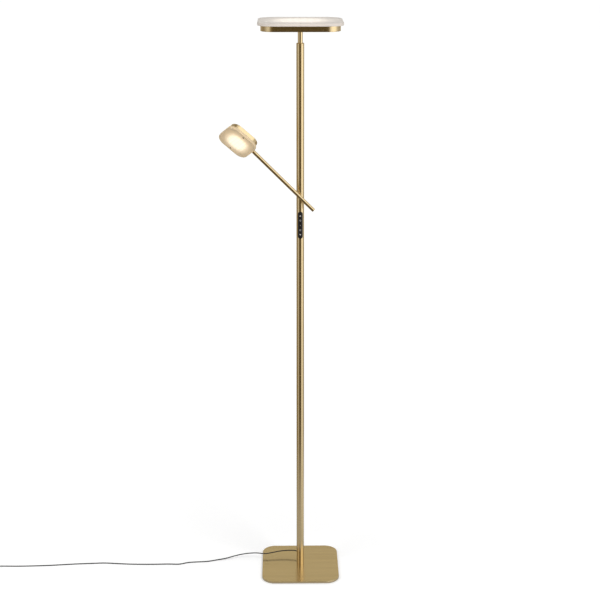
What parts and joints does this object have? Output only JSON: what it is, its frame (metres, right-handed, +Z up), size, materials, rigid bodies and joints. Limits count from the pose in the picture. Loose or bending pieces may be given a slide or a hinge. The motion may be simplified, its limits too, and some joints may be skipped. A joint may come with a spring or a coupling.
{
  "type": "floor lamp with reading light",
  "caption": "Slim floor lamp: square frosted uplight on a straight brushed brass pole, a swivelling reading light on a tilting arm, push buttons, a flat square base and a cord with an adapter.",
  "frame": {"origin": "centre of the base pad's underside, on the floor under the pole's axis", "axes": "+Z up the pole; -Y the front, with the buttons and the reading arm; the arm leans towards -X at rest"},
  "size_m": [1.346, 0.264, 1.856],
  "materials": {
    "brushed_brass": "plated brass colour, fine straight brush lines under clear lacquer",
    "zinc_steel": "bright zinc plating",
    "frosted_glass": "thick plate, frosted in the middle, clear polished rim",
    "aluminium_sheet": "plain rolled sheet",
    "white_board": "white solder mask",
    "green_board": "green solder mask",
    "led_phosphor": "yellow phosphor in a white package",
    "black_plastic": "satin black moulding",
    "button_plastic": "satin black with white printed symbols",
    "black_rubber": "soft black cord sheath",
    "white_lead": "white lead insulation",
    "foam_pad": "dense black foam sheet",
    "adapter_plastic": "fine spark-eroded black moulding",
    "nickel_pins": "nickel plated brass"
  },
  "bodies": {
    "root": {"base_plate": "brushed_brass", "base_pad": "foam_pad", "base_bolt": "zinc_steel", "base_washer": "zinc_steel", "pole_foot_insert": "zinc_steel", "lower_pole": "brushed_brass", "middle_pole": "brushed_brass", "upper_pole": "brushed_brass", "pole_joiners": "zinc_steel", "pole_top_cap": "brushed_brass", "neck_tube": "brushed_brass", "neck_nipple": "zinc_steel", "neck_nut": "zinc_steel", "uplight_tray": "brushed_brass", "uplight_heat_sink": "aluminium_sheet", "uplight_led_board": "white_board", "uplight_leds": "led_phosphor", "uplight_board_screws": "zinc_steel", "uplight_glass": "frosted_glass", "uplight_glass_posts": "zinc_steel", "uplight_glass_screws": "zinc_steel", "control_bezel": "black_plastic", "control_board": "green_board", "control_switches": "black_plastic", "control_board_screws": "zinc_steel", "pivot_saddle": "brushed_brass", "pivot_backing": "zinc_steel", "cord_grommet": "black_rubber", "supply_lead": "black_rubber", "uplight_lead": "white_lead", "power_cord": "black_rubber", "power_cord_coil": "black_rubber", "adapter_body": "adapter_plastic", "adapter_cover": "adapter_plastic", "adapter_pins": "nickel_pins"},
    "reading_arm": {"arm_tube": "brushed_brass", "arm_tail_cap": "brushed_brass", "arm_end_bush": "zinc_steel", "pivot_stud": "brushed_brass", "pivot_washer": "zinc_steel", "pivot_nut": "zinc_steel", "reading_lead": "white_lead"},
    "swivel_knuckle": {"head_knuckle": "brushed_brass", "knuckle_clip": "zinc_steel"},
    "reading_head": {"reading_tray": "brushed_brass", "reading_heat_sink": "aluminium_sheet", "reading_led_board": "white_board", "reading_leds": "led_phosphor", "reading_board_screws": "zinc_steel", "reading_glass": "frosted_glass", "reading_glass_posts": "zinc_steel", "reading_glass_screws": "zinc_steel", "reading_hinge_block": "zinc_steel", "tilt_pin": "zinc_steel"},
    "button_brighter": {"button_brighter": "button_plastic"},
    "button_power": {"button_power": "button_plastic"},
    "button_colour": {"button_colour": "button_plastic"},
    "button_reading": {"button_reading": "button_plastic"},
    "button_dimmer": {"button_dimmer": "button_plastic"}
  },
  "joints": [
    {"name": "arm_pivot", "type": "hinge", "parent": "root", "child": "reading_arm", "pos_m": [0, -0.0235, 1.303], "axis": [0, 1, 0], "range_deg": [-105, 15]},
    {"name": "head_swivel", "type": "hinge", "parent": "reading_arm", "child": "swivel_knuckle", "pos_m": [-0.15839, -0.0235, 1.46139], "axis": [-0.7071, 0, 0.7071], "range_deg": [-207, 123]},
    {"name": "head_tilt", "type": "hinge", "parent": "swivel_knuckle", "child": "reading_head", "pos_m": [-0.15839, -0.0235, 1.46139], "axis": [-0.4731, 0.7431, -0.4731], "range_deg": [-10, 20]},
    {"name": "press_brighter", "type": "slide", "parent": "root", "child": "button_brighter", "axis": [0, 1, 0], "range_m": [0, 0.0006], "stiffness_N_per_m": 1500, "springref_m": -0.0002},
    {"name": "press_power", "type": "slide", "parent": "root", "child": "button_power", "axis": [0, 1, 0], "range_m": [0, 0.0006], "stiffness_N_per_m": 1500, "springref_m": -0.0002},
    {"name": "press_colour", "type": "slide", "parent": "root", "child": "button_colour", "axis": [0, 1, 0], "range_m": [0, 0.0006], "stiffness_N_per_m": 1500, "springref_m": -0.0002},
    {"name": "press_reading", "type": "slide", "parent": "root", "child": "button_reading", "axis": [0, 1, 0], "range_m": [0, 0.0006], "stiffness_N_per_m": 1500, "springref_m": -0.0002},
    {"name": "press_dimmer", "type": "slide", "parent": "root", "child": "button_dimmer", "axis": [0, 1, 0], "range_m": [0, 0.0006], "stiffness_N_per_m": 1500, "springref_m": -0.0002}
  ]
}
